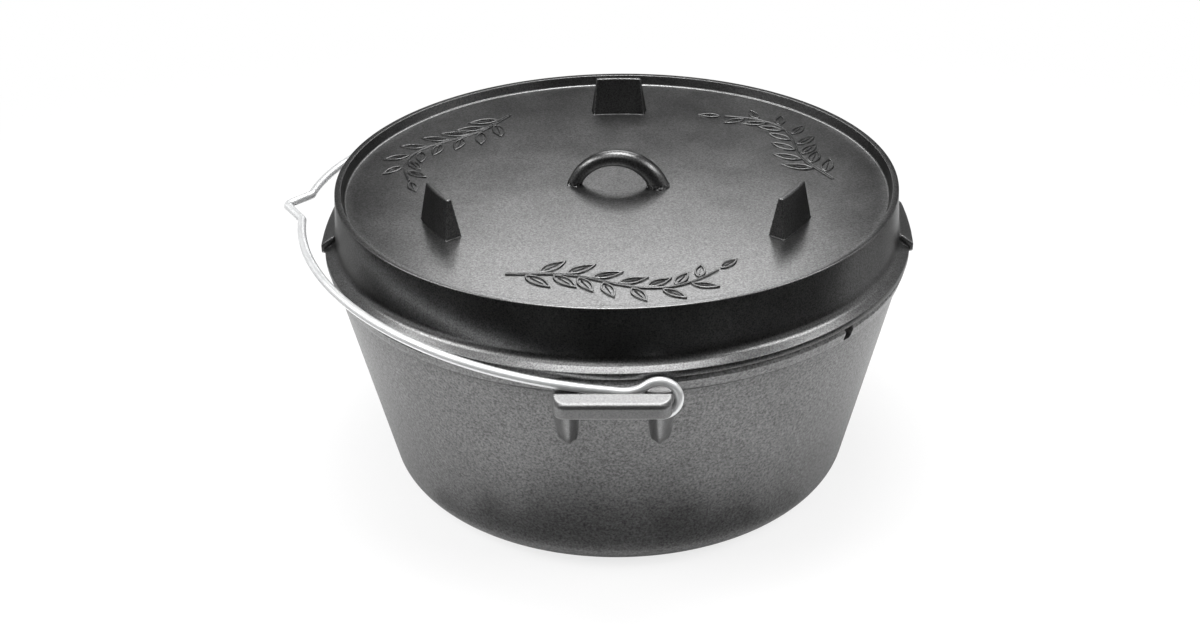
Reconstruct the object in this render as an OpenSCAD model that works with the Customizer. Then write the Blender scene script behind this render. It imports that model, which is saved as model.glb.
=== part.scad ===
/* [Pot] */
// Outer diameter of the wall carried down to the floor plane
base_d = 335; // [260:1:380]
// Outer diameter of the wall carried up to the rim plane
mouth_d = 416; // [400:1:440]
// Height of the pot from the floor to the top of its rim
pot_h = 175.5; // [140:0.5:220]
// Thickness of the side wall
wall_t = 5.5; // [4:0.25:8]
// Thickness of the flat base
base_t = 6.5; // [4:0.25:9]
// Outer radius between the base and the side wall
base_fillet = 23; // [12:1:30]
// Height of the thickened band below the rim
band_h = 10; // [6:0.5:16]
// How far the band stands out from the wall
band_t = 1.4; // [0.5:0.1:2]
// Bevel on the outer edge of the rim
rim_bevel = 1.8; // [0.5:0.1:2.5]
// Width of the cable notch in the rim
notch_w = 8; // [5:0.5:14]
// Depth of the cable notch below the rim
notch_h = 11; // [8:0.5:20]
// Direction of the cable notch, counted from the right-hand side
notch_az = -42; // [-60:1:-30]

/* [Ears] */
// Depth of the ear's flat top below the rim
ear_drop = 4.5; // [3:0.5:12]
// Distance from the middle of the ear to the middle of each arm
arm_x = 29.3; // [26:0.1:36]
// Width of each arm
arm_w = 16; // [12:0.5:17]
// Width of the bar from front to back
bar_t = 10; // [7:0.5:14]
// Height of the bar
bar_h = 11; // [9:0.5:15]
// Radius of the bar's front corners, seen from above
bar_corner = 8; // [4:0.5:9]
// Height of the upper, upward-facing part of the bar's front
bar_brow = 2.3; // [1:0.1:4]
// Draft taken off the front of the bar at its top and bottom
bar_draft = 1.2; // [0.4:0.1:2]
// Length of each leg below the ear's top
leg_h = 50; // [35:1:70]
// Width of each leg at its rounded foot
leg_foot_w = 10; // [6:0.5:14]

/* [Lid] */
// How far the flange overhangs the pot's rim
flange_over = 1.1; // [0.5:0.1:6]
// How far the top of the raised rim lies inside the pot's rim
lid_rim_in = 9.4; // [6:0.1:20]
// Height of the lid from its seat to the top of its raised rim
lid_h = 45.5; // [36:0.5:60]
// Depth of the coal tray below the raised rim
tray_h = 6.3; // [5:0.1:14]
// Thickness of the flat plate
plate_t = 5; // [4:0.25:8]
// Thickness of the lid's side wall
skirt_t = 5; // [4:0.25:7]
// Width of the flat top of the raised rim
lid_rim_w = 3.8; // [2.5:0.1:6]
// Outward lean of the lid's side wall, in degrees
skirt_lean = 4.6; // [2:0.1:8]
// Height of the flange's outer edge
flange_edge = 4.3; // [2.5:0.1:7]
// Slope of the flange's upper face, in degrees
flange_slope = 31; // [20:1:45]
// Hollow radius between the flange and the side wall
flange_fillet = 6; // [2:0.5:8]
// Depth of the lip that centres the lid in the mouth
lip_h = 5; // [3:0.5:9]
// Thickness of the centring lip
lip_t = 4.5; // [3:0.25:7]

/* [Lid handle] */
// Distance between the middles of the handle's two roots
handle_span = 61; // [50:1:90]
// Thickness of the handle's bar
handle_d = 10.8; // [8:0.2:16]
// Height of the handle above the plate
handle_h = 26.5; // [22:0.5:40]
// Turn of the handle about the lid's axis
handle_az = -4; // [-30:1:30]
// Thickness of the flared root
handle_root_d = 17; // [14:0.5:24]
// Height of the flared root
handle_root_h = 5; // [3:0.5:8]

/* [Lid feet] */
// Height of the feet above the handle's top
foot_over_handle = 1; // [0.5:0.5:6]
// Distance from the raised rim to the middle of each foot
foot_in = 61; // [30:1:90]
// Length of a foot at the plate
foot_base_w = 41.5; // [30:0.5:60]
// Length of a foot at its top
foot_top_w = 34; // [20:0.5:50]
// Thickness of a foot at the plate
foot_base_t = 13; // [9:0.5:20]
// Thickness of a foot at its top
foot_top_t = 3.5; // [2.5:0.25:8]

/* [Lid lugs] */
// Width of a side lug
lug_w = 74; // [40:1:100]
// How far the lug's flat face lies outside the flange
lug_out = 1.2; // [0.8:0.1:4]
// Height of the lug's outer face
lug_face_h = 12; // [8:0.5:16]
// Slope of the lug's upper face, in degrees
lug_slope = 30; // [10:1:40]

/* [Bail] */
// Thickness of the wire
wire_d = 6; // [4:0.25:8]
// Inner diameter of the eyes
eye_d = 19.4; // [18.5:0.1:26]
// Depth of the eye's centre below the ear's top
eye_drop = 4.4; // [3:0.1:5]
// Bend radius where the wire leaves the eye
eye_bend = 14; // [8:0.5:20]
// Length of the straight leg beside each ear
bail_leg = 41.3; // [35:0.1:70]
// Start of the arch that is kept with each leg, in degrees
leg_arc = 10; // [6:0.5:14]
// Rise of the folded bail towards its crest, in degrees
bail_tilt = 6.8; // [4:0.1:12]
// Height of the hanging kink above the bail's arch
kink_h = 12.5; // [9:0.5:20]
// Half of the angle that the kink takes out of the arch, in degrees
kink_half = 6; // [5:0.25:8]
// Bend radius of the kink
kink_bend = 6; // [4:0.5:8]
// Opening left between the eye's tip and its neck, in degrees
eye_gap_angle = 42; // [32:1:60]

/* [Fits] */
// Height of the lid's seat above the rim
seat_gap = 0.3; // [0.2:0.05:0.6]
// Gap between the centring lip and the mouth
lip_gap = 1; // [0.5:0.1:2]
// Height of the shadow gap under the flange
flange_gap = 1.2; // [0.5:0.1:2.5]
// Gap between the flange and the swinging bail
bail_gap = 1.8; // [1:0.1:4]
// Gap between the wire and the pieces beside it
wire_side_gap = 2.2; // [0.8:0.1:4]
// Gap between an arm and the eye round it
eye_gap = 0.5; // [0.3:0.05:1]
// Gap between the folded wire and the arm that it rests on
rest_gap = 0.3; // [0.2:0.05:0.6]

/* [Hidden] */
$fn = 72;
// Facets round a large turned shape that cuts a thin one
fine_facets = 720;

// Length that a cutting or buried shape runs past the face it crosses
past = 5;
// Steps along a rounded corner
corner_steps = 7;
half_turn = 180;
full_turn = 360;

// Pot wall
wall_slope = (mouth_d - base_d) / 2 / pot_h;
wall_lean = atan(wall_slope);
wall_across = wall_t / cos(wall_lean);
function wall_r(z) = base_d / 2 + wall_slope * z;
function inner_r(z) = wall_r(z) - wall_across;
band_z = pot_h - band_h;
rim_r = wall_r(pot_h) + band_t;
rim_flat_r = rim_r - rim_bevel;

// Lid heights and radii
seat_z = pot_h + seat_gap;
lid_top_z = seat_z + lid_h;
plate_z = lid_top_z - tray_h;
flange_r = rim_r + flange_over;
flange_low_z = seat_z + flange_gap;
flange_top_z = flange_low_z + flange_edge;
lid_rim_r = rim_r - lid_rim_in;
function skirt_r(z) = lid_rim_r + (lid_top_z - z) * tan(skirt_lean);
// Height where the sloping flange would meet the side wall
flange_meet_z = flange_top_z + (flange_r - skirt_r(flange_top_z)) * tan(flange_slope);
lip_r = inner_r(pot_h - lip_h) - lip_gap;
lip_in_r = lip_r - lip_t;
seat_r = rim_flat_r - flange_gap;
skirt_in_top_r = skirt_r(plate_z - plate_t) - skirt_t;
tray_r = lid_rim_r - lid_rim_w;
tray_lean = 15;
tray_draft = tray_h * tan(tray_lean);
tray_fillet = 2;
pan_fillet = 10;
// Roundings of the lid's edges
rim_round = 0.8;
flange_round = 1;
flange_low_round = 0.6;

// Bail: d runs along it from the eye to the crest, h is square to its plane
wire_r = wire_d / 2;
// How much the wire swells where one stretch runs into the next
wire_swell = 0.05;
arch_r = flange_r + bail_gap + wire_r;
eye_r = eye_d / 2 + wire_r;
arm_r = eye_d / 2 - eye_gap;
ear_z = pot_h - ear_drop;
eye_z = ear_z - eye_drop;
rest_corner = [arm_w / 2 - 2 * arm_x, eye_drop];
neck_h = rest_corner[0] * sin(bail_tilt) + rest_corner[1] * cos(bail_tilt) + wire_r + rest_gap;
neck_d = sqrt(pow(eye_r + eye_bend, 2) - pow(neck_h + eye_bend, 2));
neck_angle = atan2(neck_h + eye_bend, neck_d);
eye_sweep = full_turn - neck_angle - eye_gap_angle;

// Kink: its tip and its two shoulders are arcs joined by straight wire
kink_tip_d = bail_leg + arch_r + kink_h - kink_bend;
shoulder = [
    bail_leg + (arch_r + kink_bend) * cos(kink_half),
    (arch_r + kink_bend) * sin(kink_half)
];
kink_reach = norm(shoulder - [kink_tip_d, 0]);
kink_to_shoulder = atan2(shoulder[1], shoulder[0] - kink_tip_d);
kink_turn = kink_to_shoulder - acos(2 * kink_bend / kink_reach);
kink_flank = sqrt(pow(kink_reach, 2) - pow(2 * kink_bend, 2));
flank_out = kink_bend * [cos(kink_turn), sin(kink_turn)];
flank_start = [kink_tip_d, 0] + flank_out;
flank_end = shoulder - flank_out;
arch_end = [bail_leg, 0] + arch_r * [cos(kink_half), sin(kink_half)];

// Ears
bar_in = arch_r + wire_r + wire_side_gap;
bar_front = bar_in + bar_t;
ear_half_w = arm_x + arm_w / 2;
leg_front = arch_r - wire_r - wire_side_gap / 2;
leg_top_z = eye_z - arm_r + past;
leg_foot_z = ear_z - leg_h;
leg_foot_round = leg_foot_w / 3;
buried_r = inner_r(leg_foot_z) + wall_t / 2;

// Handle and feet
handle_rise = handle_h - handle_d / 2;
handle_r = (pow(handle_span / 2, 2) + pow(handle_rise, 2)) / 2 / handle_rise;
foot_h = handle_h + foot_over_handle;
foot_r = lid_rim_r - foot_in;
foot_step = full_turn / 3;
back_az = half_turn / 2;

iron = "#2e2e2e";
lid_iron = "#353535";
steel = "#d4d6d8";

function unit(v) = v / norm(v);

// Arc of radius r that rounds the corner b between a and c
function corner_arc(a, b, c, r) =
    let (
        u = unit(a - b),
        v = unit(c - b),
        half = acos(u * v) / 2,
        centre = b + unit(u + v) * r / sin(half),
        p = b + u * r / tan(half) - centre,
        q = b + v * r / tan(half) - centre,
        start = atan2(p[1], p[0]),
        lap = full_turn + half_turn,
        turn = (atan2(q[1], q[0]) - start + lap) % full_turn - half_turn
    )
    [for (i = [0:corner_steps]) centre + r * [
        cos(start + turn * i / corner_steps), sin(start + turn * i / corner_steps)]];

// Outline from points [x, y, corner radius], with a radius of 0 for a sharp corner
function rounded(pts) =
    let (n = len(pts), flat = [for (p = pts) [p[0], p[1]]])
    [for (i = [0:n - 1])
        each pts[i][2] == 0
            ? [flat[i]]
            : corner_arc(flat[(i + n - 1) % n], flat[i], flat[(i + 1) % n], pts[i][2])];

pot_outside = [
    [0, 0, 0],
    [base_d / 2, 0, base_fillet],
    [wall_r(band_z - band_t), band_z - band_t, 0],
    [wall_r(band_z) + band_t, band_z, 0],
    [rim_r, pot_h - rim_bevel, 0],
    [rim_flat_r, pot_h, 0]
];
pot_inside = [
    [inner_r(pot_h), pot_h, 0],
    [inner_r(base_t), base_t, base_fillet - wall_t],
    [0, base_t, 0]
];
lid_outside = [
    [lip_r, seat_z - lip_h, 0],
    [lip_r, seat_z, 0],
    [seat_r, seat_z, 0],
    [seat_r + flange_gap, flange_low_z, 0],
    [flange_r, flange_low_z, flange_low_round],
    [flange_r, flange_top_z, flange_round],
    [skirt_r(flange_meet_z), flange_meet_z, flange_fillet],
    [lid_rim_r, lid_top_z, rim_round]
];
lid_tray = [
    [tray_r, lid_top_z, rim_round],
    [tray_r - tray_draft, plate_z, tray_fillet],
    [0, plate_z, 0]
];
lid_pan = [
    [0, plate_z - plate_t, 0],
    [skirt_in_top_r, plate_z - plate_t, pan_fillet],
    [lip_in_r, seat_z, 0],
    [lip_in_r, seat_z - lip_h, 0]
];

module turned(pts) {
    rotate_extrude()
        polygon(rounded(pts));
}

module pot_outer() {
    turned(concat(pot_outside, [[0, pot_h, 0]]));
}

module lid_outer() {
    turned(concat(lid_outside, [[0, lid_top_z, 0], [0, seat_z - lip_h, 0]]));
}

// Flat shape in (x, z) carried along Y from y0 to y1
module along_y(y0, y1) {
    translate([0, y1, 0])
        rotate([90, 0, 0])
            linear_extrude(y1 - y0)
                children();
}

// Flat shape in (y, z) carried along X by half_w to both sides
module along_x(half_w) {
    rotate([90, 0, 90])
        linear_extrude(2 * half_w, center = true)
            children();
}

module pot() {
    color(iron)
        difference() {
            turned(concat(pot_outside, pot_inside));
            rotate(notch_az)
                translate([inner_r(0), 0, pot_h - notch_h + notch_w / 2])
                    cable_notch();
        }
}

// Round-bottomed slot, open upwards
module cable_notch() {
    rotate([0, 90, 0])
        cylinder(d = notch_w, h = rim_r);
    translate([0, -notch_w / 2, 0])
        cube([rim_r, notch_w, notch_h]);
}

// One arm of an ear: as wide as arm_w and rounded below to turn in the eye
module ear_arm() {
    along_y(buried_r, bar_in + bar_draft)
        translate([0, eye_z])
            intersection() {
                circle(r = arm_r);
                translate([-arm_w / 2, -arm_r])
                    square([arm_w, arm_r + eye_drop]);
            }
}

module ear_bar() {
    intersection() {
        translate([0, 0, ear_z - bar_h])
            linear_extrude(bar_h)
                polygon(rounded([
                    [-ear_half_w, bar_in, 0],
                    [ear_half_w, bar_in, 0],
                    [ear_half_w, bar_front, bar_corner],
                    [-ear_half_w, bar_front, bar_corner]
                ]));
        along_x(ear_half_w)
            polygon([
                [bar_in, ear_z - bar_h],
                [bar_front - bar_draft, ear_z - bar_h],
                [bar_front, ear_z - bar_brow],
                [bar_front - bar_draft, ear_z],
                [bar_in, ear_z]
            ]);
    }
}

// Rib that carries an arm and runs out down the wall
module ear_leg() {
    intersection() {
        along_x(arm_w)
            polygon([
                [buried_r, leg_foot_z],
                [wall_r(leg_foot_z), leg_foot_z],
                [leg_front, leg_top_z - past],
                [leg_front, leg_top_z],
                [buried_r, leg_top_z]
            ]);
        along_y(buried_r, leg_front)
            polygon(rounded([
                [-leg_foot_w / 2, leg_foot_z, leg_foot_round],
                [leg_foot_w / 2, leg_foot_z, leg_foot_round],
                [arm_w / 2, leg_top_z, 0],
                [-arm_w / 2, leg_top_z, 0]
            ]));
    }
}

// Ear on the +Y side of the pot
module ear() {
    difference() {
        union() {
            ear_bar();
            for (side = [-1, 1])
                translate([side * arm_x, 0, 0]) {
                    ear_arm();
                    ear_leg();
                }
        }
        pot_outer($fn = fine_facets);
    }
}

module front_ear() {
    color(iron)
        rotate(half_turn)
            ear();
}

module rear_ear() {
    color(iron)
        ear();
}

module lid() {
    color(lid_iron)
        turned(concat(lid_outside, lid_tray, lid_pan));
}

module lid_handle() {
    color(lid_iron)
        rotate(handle_az)
            difference() {
                union() {
                    translate([0, 0, plate_z + handle_rise - handle_r])
                        rotate([90, 0, 0])
                            rotate_extrude()
                                translate([handle_r, 0])
                                    circle(d = handle_d);
                    for (side = [-1, 1])
                        translate([side * handle_span / 2, 0, plate_z])
                            cylinder(d1 = handle_root_d, d2 = handle_d, h = handle_root_h);
                }
                translate([0, 0, plate_z - handle_r])
                    cube([2 * handle_span, 2 * handle_root_d, 2 * handle_r], center = true);
            }
}

// Flat wedge, base_w wide at z = 0 and top_w wide at the foot's top
module foot_wedge(base_w, top_w) {
    polygon([
        [-base_w / 2, 0],
        [base_w / 2, 0],
        [top_w / 2, foot_h],
        [-top_w / 2, foot_h]
    ]);
}

// Wedge foot standing on the plate, curved to follow a circle round the lid's axis
module lid_foot(az) {
    translate([0, 0, plate_z])
        rotate(az)
            intersection() {
                rotate_extrude($fn = fine_facets)
                    translate([foot_r, 0])
                        foot_wedge(foot_base_t, foot_top_t);
                translate([foot_r, 0, 0])
                    along_x(foot_base_t)
                        foot_wedge(foot_base_w, foot_top_w);
            }
}

module lid_foot_back() {
    color(lid_iron)
        lid_foot(back_az);
}

module lid_foot_left() {
    color(lid_iron)
        lid_foot(back_az + foot_step);
}

module lid_foot_right() {
    color(lid_iron)
        lid_foot(back_az - foot_step);
}

// Flat-faced lug on the flange, in the direction az
module lid_lug(az) {
    lug_face = flange_r + lug_out;
    lug_in = skirt_r(flange_low_z) - skirt_t;
    lug_top = flange_low_z + lug_face_h;
    rotate(az)
        difference() {
            along_y(-lug_w / 2, lug_w / 2)
                polygon([
                    [lug_in, flange_low_z],
                    [lug_face, flange_low_z],
                    [lug_face, lug_top],
                    [lug_in, lug_top + (lug_face - lug_in) * tan(lug_slope)]
                ]);
            lid_outer($fn = fine_facets);
        }
}

module lid_lug_left() {
    color(lid_iron)
        lid_lug(half_turn);
}

module lid_lug_right() {
    color(lid_iron)
        lid_lug(0);
}

// Round wire bent about the Z axis, from angle a0 over turn degrees
module wire_bend(r, a0, turn) {
    rotate(a0)
        rotate_extrude(angle = turn)
            translate([r, 0])
                circle(r = wire_r);
}

// Slight swelling at the meeting of two stretches of wire
module wire_knuckle(at) {
    translate(at)
        sphere(r = wire_r + wire_swell);
}

// Eye and neck at one end, drawn in (d, h) with the eye's centre at the origin
module bail_eye() {
    wire_knuckle(eye_r * [cos(neck_angle), sin(neck_angle)]);
    wire_knuckle([neck_d, neck_h]);
    wire_knuckle([bail_leg, neck_h]);
    wire_bend(eye_r, neck_angle, eye_sweep);
    translate([neck_d, neck_h + eye_bend, 0])
        wire_bend(eye_bend, half_turn + neck_angle, half_turn / 2 - neck_angle);
    translate([neck_d, neck_h, 0])
        rotate([0, 90, 0])
            cylinder(r = wire_r, h = bail_leg - neck_d);
}

// Half of the arch and of the kink, drawn in (d, w)
module bail_half_arch() {
    wire_knuckle(arch_end);
    wire_knuckle(flank_start);
    wire_knuckle(flank_end);
    wire_knuckle([kink_tip_d + kink_bend, 0]);
    translate([bail_leg, 0, 0])
        wire_bend(arch_r, kink_half, half_turn / 2 - kink_half - leg_arc);
    translate(shoulder)
        wire_bend(kink_bend, half_turn + kink_half, kink_turn - kink_half);
    translate([kink_tip_d, 0, 0]) {
        wire_bend(kink_bend, 0, kink_turn);
        rotate(kink_turn)
            translate([kink_bend, 0, 0])
                rotate([-90, 0, 0])
                    cylinder(r = wire_r, h = kink_flank);
    }
}

// Place of the folded bail on the ears
module folded() {
    translate([arm_x, 0, eye_z])
        rotate([0, bail_tilt, 0])
            children();
}

// One end of the wire, at the rear or mirrored to the front: eye, neck, leg and start of the arch
module bail_end(mirrored) {
    folded()
        mirror([0, mirrored, 0]) {
            translate([0, arch_r, 0])
                rotate([90, 0, 0])
                    mirror([1, 0, 0])
                        bail_eye();
            translate([0, 0, neck_h])
                mirror([1, 0, 0])
                    translate([bail_leg, 0, 0])
                        wire_bend(arch_r, half_turn / 2 - leg_arc, leg_arc);
        }
}

module bail_arch() {
    color(steel)
        folded()
            for (side = [0, 1])
                mirror([0, side, 0])
                    translate([0, 0, neck_h])
                        mirror([1, 0, 0])
                            bail_half_arch();
}

module bail_front_leg() {
    color(steel)
        bail_end(1);
}

module bail_rear_leg() {
    color(steel)
        bail_end(0);
}

pot();
front_ear();
rear_ear();
lid();
lid_handle();
lid_foot_back();
lid_foot_left();
lid_foot_right();
lid_lug_left();
lid_lug_right();
bail_arch();
bail_front_leg();
bail_rear_leg();
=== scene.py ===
"""A camp oven of seasoned cast iron with a bright wire bail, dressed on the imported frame."""
import math

import bmesh
import bpy
from mathutils import Matrix, Vector, noise


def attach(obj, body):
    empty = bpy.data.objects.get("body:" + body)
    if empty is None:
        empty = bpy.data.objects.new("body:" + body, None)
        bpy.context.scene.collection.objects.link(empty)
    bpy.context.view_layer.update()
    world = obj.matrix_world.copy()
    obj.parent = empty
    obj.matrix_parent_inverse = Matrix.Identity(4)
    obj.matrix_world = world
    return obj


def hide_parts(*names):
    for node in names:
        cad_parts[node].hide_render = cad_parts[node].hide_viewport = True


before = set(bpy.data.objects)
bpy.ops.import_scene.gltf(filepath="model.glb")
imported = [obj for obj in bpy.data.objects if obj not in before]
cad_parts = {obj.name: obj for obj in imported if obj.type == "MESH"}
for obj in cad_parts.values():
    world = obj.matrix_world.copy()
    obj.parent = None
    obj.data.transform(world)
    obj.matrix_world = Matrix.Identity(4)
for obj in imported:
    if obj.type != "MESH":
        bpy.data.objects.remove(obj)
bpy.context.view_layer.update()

# Sizes are in millimetres, and a mesh is scaled to metres when it is finished. Most are the part's own.
# The rims, the lugs, the ears and the bends of the wire differ from it a little, to follow the photograph
MM = 0.001
# Points closer than this become one
WELD = 0.002
# How far the stretch of wall that a cast-on feature grows out of lies inside the casting
SUNK = 0.4

# Pot sizes
POT_H = 175.5
BASE_R = 167.5
MOUTH_R = 208.0
WALL_SLOPE = (MOUTH_R - BASE_R) / POT_H
WALL_T = 5.5
WALL_ACROSS = WALL_T * math.hypot(1, WALL_SLOPE)
BASE_T = 6.5
BASE_ROUND = 23.0
BAND_H = 10.0
BAND_T = 1.4
BAND_Z = POT_H - BAND_H
RIM_R = MOUTH_R + BAND_T
RIM_BEVEL = 1.8
RIM_BEVEL_H = 2.8
RIM_FLAT_R = RIM_R - RIM_BEVEL
NOTCH_AZ = math.radians(-42)
NOTCH_W = 8.0
NOTCH_H = 11.0
# The notch's cutter runs from inside the wall to outside it, and up past the rim
NOTCH_IN_R = 185.0
NOTCH_OUT_R = 225.0
NOTCH_ABOVE = 6.0

# Lid sizes
SEAT_GAP = 0.3
SEAT_Z = POT_H + SEAT_GAP
PLATE_RISE = 39.2
PLATE_Z = SEAT_Z + PLATE_RISE
PLATE_T = 5.0
TRAY_H = 7.6
LID_TOP_Z = PLATE_Z + TRAY_H
LID_RIM_R = 200.3
LID_RIM_W = 4.5
TRAY_R = LID_RIM_R - LID_RIM_W
TRAY_DRAFT = 1.8
SKIRT_LEAN = math.tan(math.radians(4))
SKIRT_T = 5.0
FLANGE_OVER = 1.1
FLANGE_R = RIM_R + FLANGE_OVER
FLANGE_GAP = 1.2
FLANGE_LOW_Z = SEAT_Z + FLANGE_GAP
FLANGE_EDGE = 4.3
FLANGE_TOP_Z = FLANGE_LOW_Z + FLANGE_EDGE
FLANGE_RISE = 4.38
FLANGE_MEET_Z = FLANGE_TOP_Z + FLANGE_RISE
FLANGE_HOLLOW = 7.0
LIP_R = 200.2
LIP_T = 4.5
LIP_H = 5.0
PAN_ROUND = 10.0
# Painted shade that darkens the tray's side, on the same scale from -1 to 1 as the edge wear
TRAY_SIDE_PAINTED_SHADE = -0.45

# Sizes of the lid's handle, feet and lugs
HANDLE_RISE = 21.1
HANDLE_HALF = 30.5
HANDLE_AZ = math.radians(-4)
HANDLE_BAR_R = 6.1
# Thickness of the handle's bar as a share: at its middle, gained at the right root, and once more near it
HANDLE_THICK = 0.98
HANDLE_GAIN = 0.18
HANDLE_FLARE = 0.10
HANDLE_FILLET = 1.6
COLLAR_H = 4.0
COLLAR_RAGGED = 1.5
COLLAR_LUMP = 2.0
FOOT_R = 139.0
FOOT_H = 27.5
FOOT_BASE_W = 41.5
FOOT_TOP_W = 34.0
FOOT_BASE_T = 13.0
FOOT_TOP_T = 3.5
FOOT_BURIED = 1.5
FOOT_FILLET = 1.8
# Slab inside the plate that the handle or a foot grows out of: its top and bottom, ends and half width
SLAB_TOP_Z = PLATE_Z - 0.35
SLAB_LOW_Z = PLATE_Z - 3.2
HANDLE_SLAB = (-48.0, 50.0, 15.0)
FOOT_SLAB = (FOOT_R - 12.0, FOOT_R + 12.0, 27.0)
LUG_OUT = 1.2
LUG_LIFT = 1.0
LUG_HALF = 34.0
LUG_FACE_H = 6.5
LUG_SLOPE = math.tan(math.radians(36))
LUG_ROOT_R = 197.5
# How far the ends of a lug's face fall back behind its middle
LUG_BOW = 1.3

# Sizes of the leaf sprigs; a sprig's stem sways about a circle round the lid's axis
SPRIG_H = 0.95
SPRIG_BURIED = 0.3
# Slope of a raised line's sides and rise of its crown, as shares of its width
LINE_SLOPE = 0.22
LINE_CROWN = 0.12
STEM_R = 153.0
STEM_SWAY = 9.0
STEM_WAVES = 1.1
STEM_SWEEP = 54.0
STEM_LINE = 0.6
# Half of the stem's width at its foot, and how much of it is gone at the tip
STEM_HALF = 1.21
STEM_TAPER = 0.55
# Pairs of leaves along the stem: the first pair, the step to the next, and the stagger within a pair
LEAF_PAIRS = 7
LEAF_FIRST = 0.1
LEAF_STEP = 0.125
LEAF_STAGGER = 0.03
LEAF_TURN = math.radians(44)
LEAF_OFF_STEM = 2.4
LEAF_LINE = 1.2
# Length and half width of a leaf at the stem's foot, and how much less they are at its tip
LEAF_LENGTH = 25.0
LEAF_SHORTER = 7.0
LEAF_HALF = 4.9
LEAF_NARROWER = 1.2
# Powers that shape a leaf: a lower belly sets its widest place nearer the root, a lower fullness rounds it
LEAF_BELLY = 0.85
LEAF_FULLNESS = 0.9
# Vein of a leaf: shares of the leaf's length, and distances to the side
VEIN = ((0.22, 0.45), (0.72, 0.1), (0.72, -0.1), (0.22, -0.45))
VEIN_LINE = 0.09
VEIN_H = 0.665

# Ear sizes
EAR_DROP = 4.5
EAR_Z = POT_H - EAR_DROP
EYE_DROP = 4.4
EYE_Z = EAR_Z - EYE_DROP
ARM_X = 29.3
ARM_W = 16.0
ARM_DEPTH = 9.0
ARM_ROUND = 6.5
ARM_ROOT_R = 201.5
ARM_IN_BAR = 0.6
# An arm's top falls to the front, and is level with the ear's top at this distance from the pot's axis
ARM_FALL = 0.36
ARM_LEVEL_R = 212.0
BAR_T = 10.0
BAR_CORNER = 7.5
# Section of an ear's bar: how far behind its front, and how far above the ear's top
BAR_OUTLINE = ((BAR_T, -12.0), (1.6, -12.0), (0, -3.6), (0.3, -1.2), (1.6, -0.3), (BAR_T, 2.6))
# A rib from its top down: how far below the ear's top, half its width, and how far its front draws back
RIB_LEVELS = ((4.0, 10.6, 0), (14.4, 10.2, 0), (25.0, 9.2, 2.4), (35.0, 8.2, 4.8), (42.0, 7.4, 7.2),
              (46.5, 6.6, 9.8), (49.0, 5.4, 12.2))
# The flare of a rib is broader on the side away from the ear's middle
RIB_FLARE_OUT = 1.2
RIB_FLARE_IN = 0.86
RIB_BURIED = 4.0

# Bail sizes
WIRE_R = 3.0
BAIL_GAP = 1.8
WIRE_SIDE_GAP = 2.2
REST_GAP = 0.3
ARCH_R = FLANGE_R + BAIL_GAP + WIRE_R
EYE_R = 12.4
EYE_BEND = 24.0
EYE_OPENING = math.radians(42)
BAIL_LEG = 41.3
BAIL_TILT = math.radians(6.8)
# Height of the wire over the eyes' centres, square to the bail, at which it clears the arms it folds onto
NECK_H = ((ARM_W / 2 - 2 * ARM_X) * math.sin(BAIL_TILT) + EYE_DROP * math.cos(BAIL_TILT)
          + WIRE_R + REST_GAP)
KINK_H = 12.5
KINK_HALF = math.radians(6)
KINK_BEND = 6.0
WIRE_END_ROUND = 0.7

# An ear's bar lies outside the wire, and its ribs lie inside it
BAR_IN = ARCH_R + WIRE_R + WIRE_SIDE_GAP
BAR_FRONT = BAR_IN + BAR_T
RIB_FRONT = ARCH_R - WIRE_R - WIRE_SIDE_GAP / 2

# Studio sizes and places in metres, and powers in watts

# The photograph's size, focal length and optical centre, in pixels
PHOTO_W = 1200
PHOTO_H = 630
FOCAL = 1800
CENTRE_X = 618.8
CENTRE_Y = 371.1
# The camera's sensor in millimetres, its place, and its turns in radians
SENSOR_W = 36
CAMERA_AT = (0.02165, -1.18129, 0.754)
CAMERA_YAW = math.radians(1.05)
CAMERA_PITCH = 0.5311
CAMERA_ROLL = -0.0119

FLOOR_HALF = 6
FLOOR_Z = -0.0005
# Share of plain white in the floor that the camera sees by the oven, so that its shadow shows; the floor
# fades to all white between these two distances
SHADOW_WHITE = 0.78
SHADOW_R = 0.3
PLAIN_R = 1.0
# Share of plain white that reflections see in the world and in the floor
WORLD_MIRRORED = 0.05
FLOOR_MIRRORED = 0.1

# Cards, as (r, z) profiles turned about the Z axis: three stand round the set, three lie by the pot's foot
CARD_Z = 0.002
STANDING = ((0.46, CARD_Z), (0.58, CARD_Z), (0.58, 0.5))
STANDING_BACK = 0.06
# Name, colour, profile, how far it is set back, and the start and sweep of its arc in degrees
CARDS = (
    ("front_card", "#101010", STANDING, STANDING_BACK, -185, 172),
    ("left_card", "#a0a0a0", STANDING, STANDING_BACK, 140, 35),
    ("right_card", "#a0a0a0", STANDING, STANDING_BACK, -13, 48),
    # painted shadow: three dark floor cards by the pot's foot, which reflections see in place of its shadow
    ("painted_shadow_card_wide", "#484848", ((0.18, CARD_Z), (0.19, CARD_Z)), 0, -145, 110),
    ("painted_shadow_card_mid", "#484848", ((0.19, CARD_Z), (0.21, CARD_Z)), 0, -130, 80),
    ("painted_shadow_card_narrow", "#484848", ((0.21, CARD_Z), (0.235, CARD_Z)), 0, -115, 50),
)
# Name, place, aim, width, depth and power
SOFTBOXES = (
    ("back_softbox", (0, 0.32, 0.545), (0, -0.525, 0.011), 0.38, 0.225, 1.1),
    ("overhead_softbox", (0, 0, 1.6), (0, 0, 0), 0.9, 0.6, 22),
    ("front_softbox", (-0.45, -1.0, 1.5), (0, -0.1, 0), 1.1, 0.8, 4),
    ("left_softbox", (-0.95, -0.25, 0.7), (-0.2, -0.15, 0.1), 0.7, 0.7, 10.5),
    ("right_softbox", (0.95, -0.25, 0.7), (0.2, -0.15, 0.1), 0.7, 0.7, 9),
)


def wall_r(z):
    """Radius of the pot's outer wall at a height."""
    return BASE_R + WALL_SLOPE * z


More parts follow.
